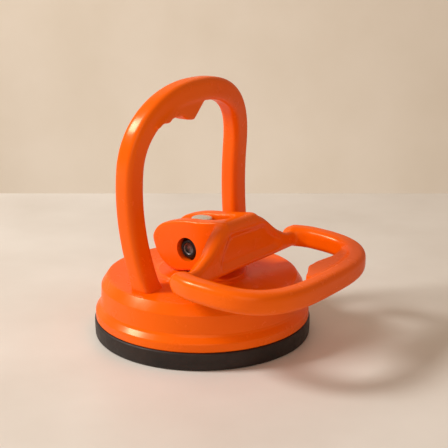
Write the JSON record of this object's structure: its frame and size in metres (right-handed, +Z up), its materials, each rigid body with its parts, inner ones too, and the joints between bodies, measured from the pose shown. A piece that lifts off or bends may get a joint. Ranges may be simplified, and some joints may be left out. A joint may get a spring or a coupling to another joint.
{
  "type": "floor tile suction lifter",
  "caption": "Suction lifter: a rubber pad under a round shell, a fixed looped grip, and a hinged looped lever whose cams pull the pad core up to grip a tile.",
  "frame": {"origin": "centre of the pad's sealing face", "axes": "+X the way the open lever points, +Y along the lever pivot, +Z up, away from the tile"},
  "size_m": [0.1451, 0.12, 0.1404],
  "materials": {
    "suction_pad": "matte moulded",
    "base_shell": "satin moulded",
    "wear_plate": "plain steel",
    "guide_bush": "natural white",
    "fixed_handle": "satin moulded",
    "handle_inserts": "turned",
    "handle_screws": "plain steel",
    "handle_washers": "plain steel",
    "core_plate": "bright zinc",
    "lift_stem": "bright zinc",
    "stem_nut": "plain steel",
    "stem_washer": "plain steel",
    "eye_bush": "natural white",
    "lever_body": "satin moulded",
    "pivot_bolt": "black oxide",
    "pivot_nut": "plain steel",
    "pivot_washers": "black oxide",
    "pivot_sleeve": "plain steel",
    "side_spacers": "natural white"
  },
  "bodies": {
    "shell": {"suction_pad": "suction_pad", "base_shell": "base_shell", "wear_plate": "wear_plate", "guide_bush": "guide_bush", "fixed_handle": "fixed_handle", "handle_inserts": "handle_inserts", "handle_screws": "handle_screws", "handle_washers": "handle_washers"},
    "stem": {"core_plate": "core_plate", "lift_stem": "lift_stem", "stem_nut": "stem_nut", "stem_washer": "stem_washer", "eye_bush": "eye_bush"},
    "lever": {"lever_body": "lever_body", "pivot_bolt": "pivot_bolt", "pivot_nut": "pivot_nut", "pivot_washers": "pivot_washers", "pivot_sleeve": "pivot_sleeve", "side_spacers": "side_spacers"}
  },
  "joints": [
    {"name": "stem_lift", "type": "slide", "parent": "shell", "child": "stem", "axis": [0, 0, 1], "range_m": [0, 0.01], "deforming": ["suction_pad"]},
    {"name": "lever_swing", "type": "hinge", "parent": "stem", "child": "lever", "pos_m": [0, 0, 0.0492], "axis": [0, -1, 0], "range_deg": [0, 82]}
  ],
  "couplings": [
    {"joint": "stem_lift", "follows": "lever_swing", "m_per_rad": 0.0069872}
  ]
}
